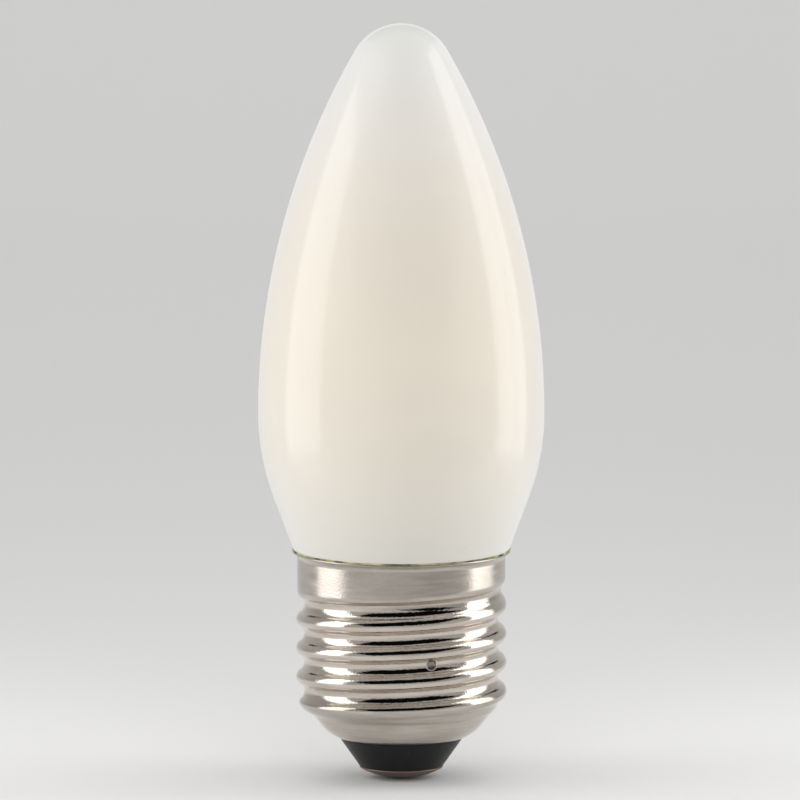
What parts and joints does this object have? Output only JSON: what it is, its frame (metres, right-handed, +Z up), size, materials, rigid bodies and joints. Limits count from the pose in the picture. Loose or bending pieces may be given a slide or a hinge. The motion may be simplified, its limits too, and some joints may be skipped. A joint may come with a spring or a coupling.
{
  "type": "candle bulb",
  "caption": "Candle-shaped lamp: white opal glass ogive cemented into a nickel-plated E27 screw cap with a black insulator cone and a domed centre contact",
  "frame": {"origin": "the tip of the centre contact, on the lamp's axis, which is where it meets a lamp holder", "axes": "+Z up the lamp's axis from the contact to the glass tip; -Y is the side the picture shows and +X is its right"},
  "size_m": [0.0358, 0.0358, 0.0952],
  "materials": {
    "opal_glass": "white opal, glossy",
    "cement": "dry, matt",
    "plated_shell": "nickel plate, bright",
    "black_insulator": "black, satin",
    "tinned_contact": "tinned, dull"
  },
  "bodies": {
    "root": {"glass_bulb": "opal_glass", "basing_cement": "cement", "screw_shell": "plated_shell", "insulator": "black_insulator", "centre_contact": "tinned_contact"}
  },
  "joints": []
}
